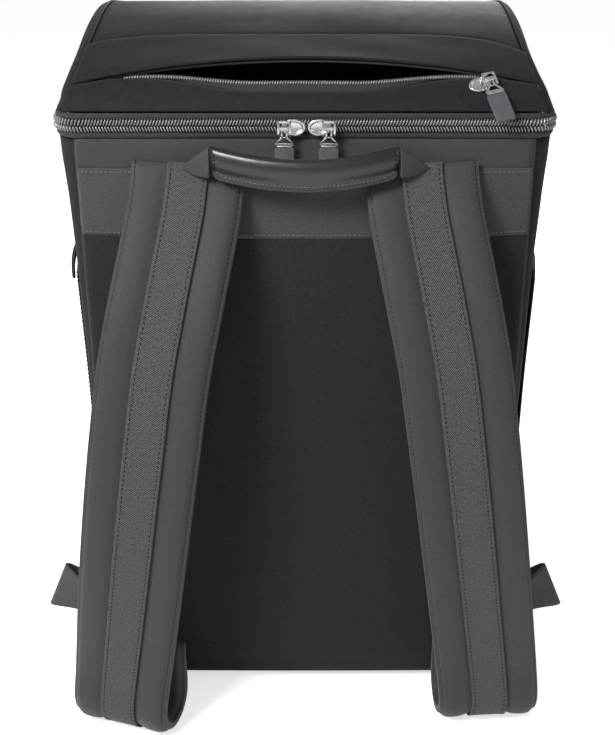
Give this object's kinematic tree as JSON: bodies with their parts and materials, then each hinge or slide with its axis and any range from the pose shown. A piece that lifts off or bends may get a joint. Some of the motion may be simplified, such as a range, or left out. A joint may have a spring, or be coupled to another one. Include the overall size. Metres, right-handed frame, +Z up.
{
  "type": "cooler backpack",
  "caption": "Insulated box-shaped backpack with a sloping zipped lid and lid pocket, padded shoulder straps, grab handle and side pockets.",
  "frame": {"origin": "middle of the flat underside of the base", "axes": "+Z up, +X to the right as seen from the wearer's side, -Y out of the back panel towards the wearer"},
  "size_m": [0.3732, 0.2487, 0.4746],
  "materials": {
    "fabric": "matte woven cloth",
    "panel_cloth": "matte heathered cloth",
    "pocket_cloth": "soft woven cloth with a faint sheen",
    "strap_cloth": "smooth matte cloth over foam",
    "webbing": "twill webbing",
    "tape": "woven zip tape",
    "stretch": "ribbed stretch cloth",
    "leather": "smooth satin",
    "teeth": "moulded coil",
    "metal": "polished",
    "tab": "satin",
    "plastic": "moulded"
  },
  "bodies": {
    "pack": {"tub": "fabric", "back_panel": "panel_cloth", "band": "webbing", "zip_tape_lower": "tape", "zip_teeth_lower": "teeth", "zip_teeth_upper": "teeth", "zip_tape_upper": "tape", "lid_wall": "fabric", "lid_floor": "fabric", "lid_top_panel": "leather", "lid_flap": "fabric", "lid_pocket_panel": "pocket_cloth", "lid_zip_lower": "teeth", "lid_zip_upper": "tape", "handle_grip": "leather", "side_pocket_left": "stretch", "pocket_binding_left": "stretch", "strap_left": "strap_cloth", "strap_webbing_left": "webbing", "strap_buckle_left": "plastic", "strap_loop_left": "webbing", "handle_end_left": "fabric", "slider_left": "metal", "side_pocket_right": "stretch", "pocket_binding_right": "stretch", "strap_right": "strap_cloth", "strap_webbing_right": "webbing", "strap_buckle_right": "plastic", "strap_loop_right": "webbing", "handle_end_right": "fabric", "slider_right": "metal", "slider_lid": "metal"},
    "puller_left": {"pull_left": "metal", "tab_left": "tab"},
    "puller_right": {"pull_right": "metal", "tab_right": "tab"},
    "puller_lid": {"pull_lid": "metal", "tab_lid": "tab"}
  },
  "joints": [
    {"name": "pull_left_hinge", "type": "hinge", "parent": "pack", "child": "puller_left", "pos_m": [-0.01255, -0.0935, 0.42], "axis": [-1, 0, 0], "range_deg": [0, 25]},
    {"name": "pull_right_hinge", "type": "hinge", "parent": "pack", "child": "puller_right", "pos_m": [0.01435, -0.0935, 0.42], "axis": [-1, 0, 0], "range_deg": [0, 25]},
    {"name": "pull_lid_hinge", "type": "hinge", "parent": "pack", "child": "puller_lid", "pos_m": [0.112, -0.0748, 0.44597], "axis": [-0.9659, -0.1983, -0.1664], "range_deg": [0, 90]}
  ]
}
